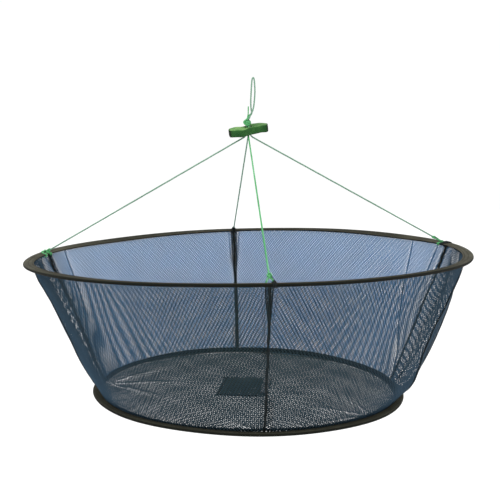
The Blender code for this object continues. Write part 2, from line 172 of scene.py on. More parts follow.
def make_studio():
    """A pale floor well below the hanging trap, a white surround and a soft light from above."""
    scene = bpy.context.scene
    scene.view_settings.view_transform = "Standard"
    world = bpy.data.worlds.new("surround")
    world.use_nodes = True
    light = world.node_tree.nodes["Background"].inputs
    light["Color"].default_value = (1, 1, 1, 1)
    light["Strength"].default_value = 1.02
    scene.world = world
    place = (0, 0, STUDIO_FLOOR_Z)
    bpy.ops.mesh.primitive_circle_add(vertices=64, radius=STUDIO_FLOOR_R, fill_type="NGON", location=place)
    floor = bpy.context.object
    floor.name = "studio_floor"
    paint = bpy.data.materials.new("pale_floor")
    paint.use_nodes = True
    shader = paint.node_tree.nodes["Principled BSDF"].inputs
    shader["Base Color"].default_value = (0.97, 0.97, 0.97, 1)
    shader["Roughness"].default_value = 0.9
    shader["Emission Color"].default_value = (1, 1, 1, 1)
    shader["Emission Strength"].default_value = 0.12
    floor.data.materials.append(paint)
    for light in LIGHTS:
        area_light(*light)


# ---- how the hoops hang


# How far each hoop hangs off true at its rim: tilt by the cosine and sine of the angle, bend by those of twice the
# angle, and rise, in millimetres
LIES = {"top": ((6.8, 1.2), (-2.7, 1.15), -2.3), "bottom": ((-4.8, 0.8), (-1.0, 0.0), -4.0)}


def lie(label, turn, reach):
    """Height of a hoop's plane off true, at an angle in radians and a share of its radius."""
    tilt, bend, rise = LIES[label]
    slope = (tilt[0] * np.cos(turn) + tilt[1] * np.sin(turn)) * reach
    bow = (bend[0] * np.cos(2 * turn) + bend[1] * np.sin(2 * turn)) * reach**2
    return (slope + bow + rise) * MM


def hang(points):
    """Moves points with the hoops, which hang a little tilted and bent, and the net between them."""
    points = np.asarray(points, float).copy()
    turn = np.arctan2(points[:, 1], points[:, 0])
    reach = np.hypot(points[:, 0], points[:, 1])
    share = np.clip((TOP_Z - points[:, 2]) / (TOP_Z - BOTTOM_Z), 0, 1)
    top = lie("top", turn, reach / (TOP_R - BAND_W))
    bottom = lie("bottom", turn, reach / (BOTTOM_R - BAND_W))
    points[:, 2] += top * (1 - share) + bottom * share
    return points


# ---- mesh building


class Builder:
    """Collects vertices and faces, and point values, for one mesh."""

    def __init__(self):
        self.points, self.faces, self.values, self.count = [], [], [], 0

    def add(self, points, faces, values=None):
        """Adds a patch; values holds one (along, across, tone) row for each point."""
        points = np.asarray(points, float).reshape(-1, 3)
        self.points.append(points)
        self.faces.extend([tuple(i + self.count for i in face) for face in faces])
        if values is None:
            values = np.zeros((len(points), 3))
        self.values.append(np.asarray(values, float))
        self.count += len(points)

    def make(self, name, material, hung=True):
        """The mesh object, with the point values in the attribute "lay"; hung applies the hoops' lie."""
        mesh = bpy.data.meshes.new(name)
        points = np.vstack(self.points)
        mesh.from_pydata((hang(points) if hung else points).tolist(), [], self.faces)
        mesh.validate()
        lay = mesh.attributes.new("lay", "FLOAT_VECTOR", "POINT")
        lay.data.foreach_set("vector", np.vstack(self.values).astype(np.float32).ravel())
        mesh.shade_smooth()
        mesh.materials.append(material)
        obj = bpy.data.objects.new(name, mesh)
        bpy.context.scene.collection.objects.link(obj)
        return obj

    def piece(self, name, material, moves, nodes=(), hung=True):
        """A finished piece. It rides a body named by moves; a blend given as (body, body, start, end) only has its
        transform baked in. It replaces CAD nodes.
        """
        obj = self.make(name, material, hung)
        if isinstance(moves, str):
            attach(obj, moves)
        else:
            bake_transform(obj)
        if nodes:
            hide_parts(*nodes)
        return obj


def ring_faces(count, size, closed=True, turned=False):
    """Faces that join rings of points, and the last ring to the first when closed; turned faces the other way."""
    faces = []
    for i in range(count if closed else count - 1):
        j = (i + 1) % count
        for k in range(size):
            m = (k + 1) % size
            sides = (j * size + k, i * size + m) if turned else (i * size + m, j * size + k)
            faces.append((i * size + k, sides[0], j * size + m, sides[1]))
    return faces


def unit(vectors):
    """Rows scaled to length 1."""
    return vectors / np.maximum(np.linalg.norm(vectors, axis=-1, keepdims=True), 1e-12)


def travel(points):
    """Distance along a line at each of its points."""
    steps = np.linalg.norm(np.diff(points, axis=0), axis=1)
    return np.concatenate([[0], np.cumsum(steps)])


def directions(points):
    """Unit tangent at each point of a line."""
    return unit(np.gradient(points, axis=0))


def carried_normals(points):
    """Normals carried along a line without twisting."""
    tangents = directions(points)
    first = np.cross(tangents[0], (0.31, 0.87, 0.39))
    normals = [first / np.linalg.norm(first)]
    for tangent in tangents[1:]:
        normal = normals[-1] - tangent * (normals[-1] @ tangent)
        normals.append(normal / np.linalg.norm(normal))
    return np.array(normals)


def resample(points, step):
    """The line through these points, with a point about every step."""
    points = np.asarray(points, float)
    along = travel(points)
    wanted = np.linspace(0, along[-1], max(3, round(along[-1] / step) + 1))
    return np.stack([np.interp(wanted, along, points[:, i]) for i in range(3)], axis=1)


def smooth_line(controls, step):
    """A smooth curve through control points (Catmull-Rom), with a point about every step."""
    p = np.asarray(controls, float)
    p = np.vstack([2 * p[0] - p[1], p, 2 * p[-1] - p[-2]])
    t = np.linspace(0, 1, 16, endpoint=False)[:, None]
    parts = []
    for a, b, c, d in zip(p, p[1:], p[2:], p[3:]):
        parts.append(
            0.5 * (2 * b + (c - a) * t + (2 * a - 5 * b + 4 * c - d) * t**2)
            + 0.5 * (3 * b - a - 3 * c + d) * t**3
        )
    return resample(np.vstack(parts + [p[-2:-1]]), step)


def tube(builder, points, radius, sides=6, normals=None, tone=0.0, flat=1.0):
    """Sweeps a round section, or one flattened along the normals, along a line and caps both ends."""
    points = np.asarray(points, float)
    n = len(points)
    tangents = directions(points)
    if normals is None:
        normals = carried_normals(points)
    normals = unit(normals - tangents * np.sum(normals * tangents, axis=1, keepdims=True))
    across = np.cross(tangents, normals)
    turn = np.linspace(0, 2 * math.pi, sides, endpoint=False)
    radius = np.broadcast_to(radius, n)[:, None, None]
    cos, sin = np.cos(turn)[None, :, None], np.sin(turn)[None, :, None]
    ring = flat * cos * normals[:, None] + sin * across[:, None]
    rings = points[:, None] + ring * radius
    faces = ring_faces(n, sides, closed=False)
    faces += [tuple(reversed(range(sides))), tuple(range((n - 1) * sides, n * sides))]
    values = np.zeros((n, sides, 3))
    values[:, :, 0] = travel(points)[:, None]
    values[:, :, 1] = (turn * radius[0, 0, 0])[None]
    values[:, :, 2] = np.broadcast_to(tone, n)[:, None]
    builder.add(rings.reshape(-1, 3), faces, values.reshape(-1, 3))


def twisted_cord(builder, points, radius=CORD_R, lay=CORD_LAY, strands=3, step=1.1 * MM, sides=5):
    """A laid cord: strands wound round a line. Returns the line it follows."""
    line = resample(points, step)
    along = travel(line)
    normals = carried_normals(line)
    across = np.cross(directions(line), normals)
    strand_r = radius * 0.54
    offset = radius - strand_r
    for k in range(strands):
        turn = (2 * math.pi * (along / lay + k / strands))[:, None]
        path = line + offset * (np.cos(turn) * normals + np.sin(turn) * across)
        tube(builder, path, strand_r, sides, tone=k / strands)
    return line


def around(radius, z, degrees):
    """Points at a radius, height and azimuth; any of them may be an array."""
    turn = np.radians(degrees)
    radius, z, turn = np.broadcast_arrays(radius, z, turn)
    return np.stack([radius * np.cos(turn), radius * np.sin(turn), z], axis=-1)


def off_from(line, azimuth):
    """Degrees from one azimuth to another, from -180 to 180."""
    return (azimuth - line + 180) % 360 - 180


def ease(t):
    """Smooth step from 0 to 1."""
    t = np.clip(t, 0, 1)
    return t * t * (3 - 2 * t)


# ---- materials


class Nodes:
    """A short way to write a material's node tree."""

    def __init__(self, name):
        self.material = bpy.data.materials.new(name)
        self.material.use_nodes = True
        self.tree = self.material.node_tree
        self.shader = self.tree.nodes["Principled BSDF"]

    def add(self, kind, inputs=None, **settings):
        """A node with these settings; inputs may be values or other nodes' outputs."""
        node = self.tree.nodes.new(kind)
        for key, value in settings.items():
            setattr(node, key, value)
        for key, value in (inputs or {}).items():
            self.feed(node.inputs[key], value)
        return node

    def feed(self, socket, value):
        """Links an output to a socket, or sets the socket's own value."""
        if isinstance(value, bpy.types.NodeSocket):
            self.tree.links.new(value, socket)
        else:
            socket.default_value = value

    def lay(self, axis):
        """One value of the mesh's "lay" attribute: along X, across Y or tone Z."""
        source = self.add("ShaderNodeAttribute", attribute_name="lay")
        split = self.add("ShaderNodeSeparateXYZ", {"Vector": source.outputs["Vector"]})
        return split.outputs[axis]

    def place(self, scale=(1, 1, 1)):
        """Object coordinates, scaled."""
        source = self.add("ShaderNodeTexCoord")
        scaled = self.add("ShaderNodeMapping", {"Vector": source.outputs["Object"], "Scale": scale})
        return scaled.outputs["Vector"]

    def place_along(self, axis):
        """One object coordinate."""
        return self.add("ShaderNodeSeparateXYZ", {"Vector": self.place()}).outputs[axis]

    def noise(self, vector, scale, detail=4.0):
        """A noise value."""
        inputs = {"Vector": vector, "Scale": scale, "Detail": detail}
        return self.add("ShaderNodeTexNoise", inputs).outputs["Fac"]

    def ramp(self, value, stops):
        """A colour ramp over (position, colour) stops."""
        node = self.add("ShaderNodeValToRGB", {"Fac": value})
        elements = node.color_ramp.elements
        while len(elements) < len(stops):
            elements.new(0.5)
        for element, (position, colour) in zip(elements, stops):
            element.position = position
            element.color = (*colour, 1)
        return node.outputs["Color"]

    def math(self, operation, a, b=0.0):
        """One arithmetic node."""
        node = self.add("ShaderNodeMath", operation=operation)
        self.feed(node.inputs[0], a)
        self.feed(node.inputs[1], b)
        return node.outputs[0]

    def mix(self, factor, a, b, blend="MIX"):
        """A mix of two colours."""
        node = self.add("ShaderNodeMix", data_type="RGBA", blend_type=blend)
        self.feed(node.inputs["Factor"], factor)
        self.feed(node.inputs[6], a if isinstance(a, bpy.types.NodeSocket) else (*a, 1))
        self.feed(node.inputs[7], b if isinstance(b, bpy.types.NodeSocket) else (*b, 1))
        return node.outputs[2]

    def bump(self, height, distance, strength=1.0):
        """A bump of a height in metres."""
        inputs = {"Height": height, "Distance": distance, "Strength": strength}
        return self.add("ShaderNodeBump", inputs).outputs["Normal"]

    def wave(self, value, length):
        """A sine of a value, with a wave of this length."""
        return self.math("SINE", self.math("MULTIPLY", value, 2 * math.pi / length))

    def eased(self, value, size, base):
        """A value scaled and set on a base."""
        return self.math("ADD", self.math("MULTIPLY", value, size), base)

    def finish(self, **sockets):
        """Sets the shader's sockets, named with _ for a space."""
        for key, value in sockets.items():
            self.feed(self.shader.inputs[key.replace("_", " ")], value)
        return self.material


WEFT, WARP = 1.1 * MM, 0.9 * MM  # of the tape's weave
TWINE_LAY = 2.2 * MM
# Painted shade: the near-black colour of twines deep in a pleat's crease.
PAINTED_CREASE_SHADE = (0.005, 0.010, 0.013)


def tape_material(name, lit, dark):
    """Plainly woven binding tape, with painted shade: darker away from the hoop's ends, and dark on its underside
    and round its folded outer and inner edges, against the lit top colour.
    """
    n = Nodes(name)
    weave = n.math("MULTIPLY", n.wave(n.lay("X"), WEFT), n.wave(n.lay("Y"), WARP))
    mottled = n.noise(n.place(), 26)
    fine = n.noise(n.place(), 900, 2)
    worn = n.ramp(mottled, [(0.35, tuple(c * 0.72 for c in lit)), (0.68, tuple(c * 1.22 for c in lit))])
    aside = n.math("ABSOLUTE", n.place_along("X"))
    # Painted shade: darker away from the hoop's left and right ends, so from here worn holds the random mottling
    # times this painted shade.
    ends = n.ramp(aside, [(0.30, (0.44, 0.46, 0.44)), (0.385, (1.0, 1.0, 1.0))])
    worn = n.mix(1.0, worn, ends, "MULTIPLY")
    threads = n.mix(n.math("MULTIPLY", fine, 0.5), worn, tuple(c * 0.5 for c in lit))
    # Painted shade: the underside and edges, marked by the section's tone, take the dark colour.
    edge = n.ramp(n.lay("Z"), [(0.0, (0, 0, 0)), (0.35, (0, 0, 0)), (0.75, (1, 1, 1))])
    colour = n.mix(edge, threads, dark)
    rough = n.eased(fine, 0.2, 0.68)
    normal = n.bump(weave, 0.12 * MM, 0.8)
    return n.finish(Base_Color=colour, Roughness=rough, Normal=normal, Specular_IOR_Level=0.12)


def yarn(n, base, dark, rough, lay, gloss):
    """Ends a material as twisted yarn: fibres that run round the strand over these colours."""
    slant = n.math("ADD", n.lay("X"), n.math("MULTIPLY", n.lay("Y"), 1.4))
    twist = n.wave(slant, lay)
    fibre = n.noise(n.place(), 1500, 2)
    colour = n.mix(n.math("MULTIPLY", fibre, 0.45), base, dark)
    uneven = n.eased(fibre, 0.25, rough - 0.1)
    height = n.math("ADD", twist, n.math("MULTIPLY", fibre, 0.6))
    normal = n.bump(height, 0.08 * MM, 0.7)
    return n.finish(Base_Color=colour, Roughness=uneven, Normal=normal, Specular_IOR_Level=gloss)


def twine_material(name, tones, rough=0.7, lay=TWINE_LAY, gloss=0.15):
    """Twisted yarn in tones that drift from place to place."""
    n = Nodes(name)
    base = n.ramp(n.noise(n.place(), 22), [(0.3, tones[0]), (0.7, tones[1])])
    return yarn(n, base, tones[2], rough, lay, gloss)


def net_material():
    """The wall's yarn, with painted light and shade: near black at the front and blue at the back, painted as
    though lit through from behind, and painted shade darkest in its creases.
    """
    n = Nodes("navy_twine")
    # Painted light and shade: a tone by object Y, from near black at the front through blue at the sides to light
    # blue at the back.
    share = n.eased(n.place_along("Y"), 2.0, 0.7)
    front, side, back = (0.024, 0.048, 0.056), (0.040, 0.080, 0.122), (0.112, 0.280, 0.530)
    painted_light_front_to_back = n.ramp(share, [(0.0, front), (0.4, side), (0.72, side), (0.95, back)])
    drift = n.ramp(n.noise(n.place(), 22), [(0.3, (0.85, 0.85, 0.85)), (0.7, (1.0, 1.0, 1.0))])
    base = n.mix(1.0, painted_light_front_to_back, drift, "MULTIPLY")
    dark = n.mix(1.0, base, (0.55, 0.6, 0.65), "MULTIPLY")
    # Painted shade in the creases, by the tone that the folds give each twine.
    return yarn(n, n.mix(n.lay("Z"), base, PAINTED_CREASE_SHADE), dark, 0.7, TWINE_LAY, 0.15)


def foam_material():
    """Closed-cell foam, fine cells: its skin paler where it faces up, most to the left, as painted light, darker
    underneath as painted shade, and dark at the cut ends.
    """
    n = Nodes("green_foam")
    cells = n.add("ShaderNodeTexVoronoi", {"Vector": n.place(), "Scale": 900.0}).outputs["Distance"]
    blotch = n.noise(n.place(), 70)
    skin = n.ramp(blotch, [(0.35, (0.016, 0.085, 0.018)), (0.65, (0.038, 0.145, 0.030))])
    top = n.ramp(blotch, [(0.35, (0.10, 0.28, 0.07)), (0.65, (0.22, 0.42, 0.13))])
    # Painted light: where the skin faces up it takes the pale top colour.
    colour = n.mix(n.lay("X"), skin, top)
    # Dark at the cut ends, and painted shade on the underside.
    colour = n.mix(n.lay("Z"), colour, (0.006, 0.016, 0.006))
    height = n.math("ADD", cells, n.math("MULTIPLY", n.noise(n.place(), 260), 1.5))
    rough = n.eased(blotch, 0.2, 0.6)
    normal = n.bump(height, 0.25 * MM, 0.7)
    return n.finish(Base_Color=colour, Roughness=rough, Normal=normal, Specular_IOR_Level=0.2)


def steel_material():
    """Drawn wire: fine lines along it and a little tarnish."""
    n = Nodes("drawn_steel")
    lines = n.noise(n.place((1, 1, 18)), 300, 3)
    tarnish = n.noise(n.place(), 35)
    colour = n.ramp(tarnish, [(0.35, (0.42, 0.42, 0.43)), (0.75, (0.22, 0.17, 0.12))])
    rough = n.eased(lines, 0.25, 0.22)
    return n.finish(Base_Color=colour, Roughness=rough, Metallic=1.0, Normal=n.bump(lines, 0.03 * MM))


def fastener_material():
    """The pile of touch-fastener tape."""
    n = Nodes("touch_fastener")
    pile = n.noise(n.place(), 1800, 3)
    colour = n.ramp(pile, [(0.3, (0.004, 0.004, 0.005)), (0.8, (0.035, 0.036, 0.038))])
    return n.finish(Base_Color=colour, Roughness=0.95, Normal=n.bump(pile, 0.4 * MM), Sheen_Weight=0.3)


# (name, two drifting tones, dark tone between the fibres, and roughness, lay and gloss where they aren't a twine's)
TWINES = {
    "floor": ("floor_twine", (0.034, 0.050, 0.060), (0.052, 0.071, 0.081), (0.022, 0.033, 0.040)),
    "pocket": ("pocket_twine", (0.018, 0.029, 0.028), (0.032, 0.046, 0.045), (0.009, 0.016, 0.016)),
    "black": ("black_cord", (0.010, 0.014, 0.015), (0.020, 0.026, 0.027), (0.005, 0.007, 0.007)),
    "stitch": ("sewing_thread", (0.040, 0.040, 0.028), (0.060, 0.058, 0.042), (0.02, 0.02, 0.015)),
    "green": ("bright_cord", (0.07, 0.46, 0.13), (0.22, 0.68, 0.32), (0.03, 0.22, 0.05), 0.45, 3 * MM, 0.3),
    "worn": ("worn_cord", (0.22, 0.42, 0.29), (0.34, 0.54, 0.41), (0.11, 0.24, 0.15), 0.5, 3 * MM, 0.3),
}


def make_materials():
    """Every material of the object."""
    materials = {key: twine_material(name, rest[:3], *rest[3:]) for key, (name, *rest) in TWINES.items()}
    return {
        **materials,
        # Each tape's lit top colour, then the dark colour of its painted shade.
        "tape": tape_material("olive_tape", (0.090, 0.086, 0.060), (0.008, 0.009, 0.006)),
        "hem": tape_material("dark_hem", (0.012, 0.016, 0.015), (0.006, 0.008, 0.008)),
        "net": net_material(),
        "foam": foam_material(),
        "steel": steel_material(),
        "fastener": fastener_material(),
    }


# ---- hoops


TOP_SEED, BOTTOM_SEED = 0.7, 2.4
HOOPS = {"top": (TOP_R, TOP_Z, TOP_SEED), "bottom": (BOTTOM_R, BOTTOM_Z, BOTTOM_SEED)}
TAPE_DIPS = (42, 140)  # where the upper hoop's tape rolls down
DIP_ROLL, DIP_SPREAD = 13, 26
# (inward, height, side) of each row of stitches
STITCH_ROWS = ((15.6 * MM, 1.25 * MM, 1), (9.0 * MM, 1.85 * MM, 1), (15.6 * MM, -1.35 * MM, -1))


def hoop_wobble(degrees, seed):
    """(roll of the tape about its wire in degrees, drift of its width from -1 to 1) round a hoop."""
    turn = np.radians(degrees)
    roll = 2.0 * np.sin(2 * turn + seed) + 1.5 * np.sin(5 * turn + 2.1 * seed)
    if seed == TOP_SEED:
        for dip in TAPE_DIPS:
            roll = roll - DIP_ROLL * np.exp(-((off_from(dip, degrees) / DIP_SPREAD) ** 2))
    width = np.sin(3 * turn + 1.3 * seed) * 0.6 + np.sin(11 * turn + seed) * 0.4
    return roll, width


def band_section(width):
    """(inward from the outer edge, height, tone) round the tape's section; the tone marks the painted shade, low on
    the lit top and high on the underside and edges.
    """
    turn = np.radians(np.linspace(-105, 105, 12))
    bulge = [(TAPE_BULGE_R - TAPE_BULGE_R * math.cos(a), TAPE_BULGE_R * math.sin(a)) for a in turn]
    half = TAPE_EDGE_T / 2
    points = [(x, z, 1.0 if z < 1.4 * MM else 0.3) for x, z in bulge]
    points += [(width * 0.52, half + 0.5 * MM, 0.0), (width * 0.75, half + 0.1 * MM, 0.0)]
    points += [(width - 0.8 * MM, half, 0.25), (width, 0.3 * MM, 0.8), (width - 0.6 * MM, -half, 1.0)]
    points += [(width * 0.75, -half - 0.2 * MM, 1.0), (width * 0.52, -half - 0.6 * MM, 1.0)]
    return np.array(points)


def band_point(outer_r, plane_z, degrees, inward, height, seed):
    """A point of the tape at a distance inward from its outer edge and a height above its plane."""
    roll, _ = hoop_wobble(degrees, seed)
    tilt = np.radians(roll)
    pivot = TAPE_BULGE_R
    x, z = inward - pivot, height
    out = outer_r - pivot - (x * np.cos(tilt) - z * np.sin(tilt))
    lift = 0.4 * MM * np.sin(np.radians(degrees) * 7 + seed)
    return around(out, plane_z + x * np.sin(tilt) + z * np.cos(tilt) + lift, degrees)


def make_sleeve(label, material):
    """The folded tape round a hoop."""
    outer_r, plane_z, seed = HOOPS[label]
    rings, values = [], []
    for angle in np.linspace(0, 360, TAPE_STEPS, endpoint=False):
        _, drift = hoop_wobble(angle, seed)
        section = band_section(BAND_W + 0.7 * MM * drift)
        rings.append(band_point(outer_r, plane_z, angle, section[:, 0], section[:, 1], seed))
        along = np.full(len(section), math.radians(angle) * outer_r)
        values.append(np.stack([along, travel(section[:, :2]), section[:, 2]], axis=1))
    builder = Builder()
    builder.add(np.vstack(rings), ring_faces(TAPE_STEPS, len(rings[0]), turned=True), np.vstack(values))
    builder.piece(f"{label}_hoop_tape", material, f"{label}_hoop", [f"{label}_hoop_sleeve"])


def make_stitches(label, material):
    """Two rows of stitches on the tape's top, and the outer one's other side underneath."""
    outer_r, plane_z, seed = HOOPS[label]
    builder = Builder()
    shares = np.array([0.05, 0.2, 0.5, 0.8, 0.95]) * 0.62
    for inward, height, side in STITCH_ROWS:
        count = round(2 * math.pi * (outer_r - inward) / STITCH_STEP)
        lifts = np.array([-0.5, 0.1, 0.35, 0.1, -0.5]) * MM * side
        for i in range(count):
            path = band_point(outer_r, plane_z, (i + shares) * (360 / count), inward, height + lifts, seed)
            tube(builder, path, STITCH_R, 4)
    builder.piece(f"{label}_hoop_stitching", material, f"{label}_hoop")


def make_wire(label, material):
    """The spring-steel wire in a hoop's tape, and the crimped sleeve on its joint."""
    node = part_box(f"{label}_hoop_wire")
    radius = (node[1][0] - node[0][0]) / 2 - WIRE_R
    joint = bearing(middle(f"{label}_hoop_ferrule"))
    for part, thickness, start, end, steps in (
        ("wire", WIRE_R, joint + 0.1, joint + 359.9, 300),
        ("ferrule", FERRULE_R, joint - 2, joint + 2, 12),
    ):
        builder = Builder()
        tube(builder, around(radius, HOOPS[label][1], np.linspace(start, end, steps)), thickness, 12, UP)
        name = f"{label}_hoop_{part}"
        builder.piece(f"{name}_bar", material, f"{label}_hoop", [name])


# ---- netting


def unwrapped(table):
    """Seam azimuths from the front round to the front again, rising."""
    values = [table[name] for name in CORNERS]
    for i in range(1, 4):
        while values[i] < values[i - 1]:
            values[i] += 360
    return np.array(values + [values[0] + 360])


TOP_SEAMS = unwrapped(SEAM_TOP)
BOTTOM_SEAMS = unwrapped(SEAM_BOTTOM)
BACK_PANELS = (1, 2)
NET_TOP_R = TOP_R - BAND_W + 3.5 * MM
NET_BOTTOM_R = BOTTOM_R - BAND_W + 3 * MM
NET_TOP_Z = TOP_Z - 0.8 * MM
WALL_BLEND = ("top_hoop", "bottom_hoop", (0, 0, TOP_Z - 12 * MM), (0, 0, BOTTOM_Z + 12 * MM))
FOLD_DEPTH = 0.6  # how much of its stated overlap a pleat takes up
PLEAT_OVERLAP = 0.8  # the least overlap of a pleat whose edge is doubled
FADE = 0.12  # share of the wall's depth over which a pleat runs out


class Fold:
    """A pleat down the wall: its line's azimuths from top to bottom, its width and its overlap."""

    def __init__(self, azimuths, width, overlap, lift=0.0, start=0.0, end=1.0):
        self.azimuths = azimuths
        self.width, self.lift = width * MM, lift * MM
        self.overlap = overlap * FOLD_DEPTH
        self.start, self.end = start, end

    def azimuth(self, s):
        """The azimuth of the pleat's line, at a share of the way down."""
        return np.interp(s, np.linspace(0, 1, len(self.azimuths)), self.azimuths)

    def shape(self, azimuth, radius, s):
        """(shift along the hoop in degrees, shift outward, depth of the crease) at points of the wall; the crease
        depth sets the twines' painted shade.
        """
        x = np.radians(off_from(self.azimuth(s), azimuth)) * radius / self.width
        present = ease((self.end - s) / FADE) if self.end < 1 else np.ones_like(s)
        if self.start > 0:
            present = present * ease((s - self.start) / FADE)
        bell = np.exp(-x * x)
        shift = -self.overlap * present * self.width * x * bell
        lift = present * (self.lift * np.exp(-((x / 2.5) ** 2)) + 1.4 * MM * x * bell)
        return np.degrees(shift / radius), lift, present * min(self.overlap, 1.0) * np.exp(-4 * x * x)


def seam_folds():
    """Small gathers beside each seam, where the wall is drawn in to the hoops."""
    folds = []
    for name in CORNERS:
        top, bottom = SEAM_TOP[name], SEAM_BOTTOM[name]
        for offset, end in ((0.9, 0.5), (1.9, 0.36), (-0.9, 0.55), (-1.8, 0.34)):
            folds.append(Fold((top + offset, top + offset * 0.35, bottom), 2.6, 2.4, 0.5, end=end))
        for offset in (-1.6, -0.5, 0.8, 1.9):
            folds.append(Fold((bottom + offset * 0.3, bottom + offset), 2.4, 2.0, 0.4, start=0.7))
    return folds


SEAM_FOLDS = seam_folds()
FOLDS = SEAM_FOLDS + [
    # right end, from the back round to the front
    Fold((29.5, 27.0, 24.5, 19.5, 13.0, 9.0), 2.6, 2.6, 1.0),
    Fold((16.2, 15.4, 14.6), 3.6, 1.5, 0.5, end=0.30),
    Fold((5.5, 0.6, -2.4, -3.0, -1.6, 1.0, 4.0), 4.2, 2.6, -2.0),
    Fold((-1.5, -6.5, -9.5, -10.0, -8.0, -4.0), 5.0, 2.3, 2.5),
    Fold((-8.0, -15.0, -18.5, -19.0, -16.0, -10.0), 4.6, 2.5, -2.5),
    Fold((-17.0, -25.0, -28.0, -27.0, -22.0, -14.0), 5.0, 1.9, 2.0, end=0.95),
    Fold((-30.0, -36.0, -37.0, -34.0), 5.0, 1.2, 1.0, start=0.05, end=0.8),
    # left end, from the back round to the front
    Fold((160.5, 162.5, 166.0, 168.5), 4.5, 1.6, 1.0, end=0.62),
    Fold((173.5, 165.5, 157.0), 2.2, 2.4, 0.5, end=0.20),
    Fold((177.0, 179.0, 179.0, 177.5, 180.0), 4.0, 2.5, 1.5),
    Fold((182.0, 184.5, 185.0, 182.5, 182.0), 3.6, 2.6, -1.5),
    Fold((186.5, 189.5, 189.5, 187.0, 184.0), 3.0, 2.7, 1.5),
    Fold((192.0, 194.5, 194.0, 191.5, 186.5), 4.6, 2.5, -1.5),
    Fold((200.0, 203.5, 203.0, 199.0, 190.0), 4.6, 1.8, 1.5),
    Fold((212.0, 216.0, 214.0, 205.0), 4.2, 1.1, -0.8, end=0.8),
]

# How far the wall stands out at its right and left ends, from top to bottom, in millimetres
RIGHT_BULGE = (0.0, 5.0, 9.0, 12.5, 14.5, 16.5, 17.5, 18.5, 18.0, 14.0, 0.0)
LEFT_BULGE = (0.0, 4.0, 4.5, 5.5, 6.5, 7.5, 7.5, 7.0, 5.0, 3.0, 0.0)


def wall_swell(azimuth, s):
    """How far the wall stands out from the straight line between the hoops."""
    turn = np.radians(azimuth)
    levels = np.linspace(0, 1, len(RIGHT_BULGE))
    from_right = off_from(-14, azimuth)
    right_share = np.exp(-((from_right / np.where(from_right > 0, 20, 27)) ** 2))
    left_share = np.exp(-((off_from(193, azimuth) / 22) ** 2))
    swell = np.interp(s, levels, RIGHT_BULGE) * right_share + np.interp(s, levels, LEFT_BULGE) * left_share
    swell = swell + (1.2 * np.sin(9 * turn + 3 * s) + 0.7 * np.sin(23 * turn - 4 * s)) * np.sin(np.pi * s)
    return (swell - 4.0 * np.sin(np.pi * s) * (1 - right_share)) * MM


def folded_wall(azimuth, s):
    """(points of the net wall, how deep in a crease, which sets the painted shade), at true azimuths and shares of
    the way down.
    """
    radius = NET_TOP_R + (NET_BOTTOM_R - NET_TOP_R) * s
    shift, lift, crease = np.zeros_like(s), np.zeros_like(s), np.zeros_like(s)
    for fold in FOLDS:
        turn, out, depth = fold.shape(azimuth, radius, s)
        shift = shift + turn
        lift = lift + out
        crease = np.maximum(crease, depth)
    lift = lift * ease(s / 0.06) * ease((1 - s) / 0.05) + wall_swell(azimuth, s)
    roll, _ = hoop_wobble(azimuth, TOP_SEED)
    dip = np.sin(np.radians(roll)) * (TOP_R - NET_TOP_R - TAPE_BULGE_R) * (1 - s)
    z = NET_TOP_Z + (BOTTOM_Z - NET_TOP_Z) * s + dip
    return around(radius + lift, z, azimuth + shift), crease


def wall_shape(degrees, s):
    """The same, where the azimuths are those at the upper hoop."""
    azimuth = (degrees - TOP_SEAMS[0]) % 360 + TOP_SEAMS[0]
    bottom = np.interp(azimuth, TOP_SEAMS, BOTTOM_SEAMS)
    return folded_wall(azimuth + (bottom - azimuth) * s, s)


def wall_point(degrees, s):
    """Points of the net wall: azimuth at the upper hoop in degrees, share of the way down."""
    return wall_shape(degrees, s)[0]


def twine(builder, path, outward, over, radius=TWINE_R, crease=0.0):
    """One twine of a net, on the outer or inner side of those that it crosses; crease is its painted shade in a
    pleat.
    """
    tube(builder, path + outward * (TWINE_LIFT * over), radius, 4, outward, crease, TWINE_FLAT)


def wall_lattice(builder, index, height):
    """Both families of twines of a panel, cut to its outline."""
    top = math.radians(TOP_SEAMS[index + 1] - TOP_SEAMS[index]) * NET_TOP_R / 2
    bottom = math.radians(BOTTOM_SEAMS[index + 1] - BOTTOM_SEAMS[index]) * NET_BOTTOM_R / 2
    lean_by, taper = MESH_ACROSS / MESH_DOWN, (top - bottom) / height
    pitch, radius = MESH_ACROSS, TWINE_R
    if index in BACK_PANELS:
        pitch, radius = MESH_ACROSS * BACK_MESH, BACK_TWINE_R
    count = round((top + height * lean_by) / pitch)
    for lean in (1, -1):
        for k in range(-count, count + 1):
            foot = k * pitch
            start = max(0.0, (-top - foot) / (lean_by - taper))
            end = min(height, (top - foot) / (lean_by + taper))
            if end - start < MESH_DOWN / 2:
                continue
            down = np.linspace(start, end, max(3, round((end - start) * 1.3 / TWINE_STEP)))
            slack = 0.3 * MM * np.sin(down * 85 + k * 2.4)
            across = lean * (foot + lean_by * down + slack) / (top - taper * down)
            u = TOP_SEAMS[index] + (TOP_SEAMS[index + 1] - TOP_SEAMS[index]) * (across + 1) / 2
            path, crease = wall_shape(u, down / height)
            stout = 0.0 if index in BACK_PANELS else END_STOUTER * ease((path[:, 1] + 0.25) / 0.14)
            twine(builder, path, around(1.0, 0.0, u), lean, radius * (1 + stout), crease)


# Netting bunched at each seam: its width at the top and the foot in millimetres, and its reach down the wall
GATHERS = {"front": (9.0, 0.0, 0.34), "right": (5.0, 1.5, 1.0), "back": (5.5, 4.0, 1.0), "left": (13.0, 5.0, 1.0)}


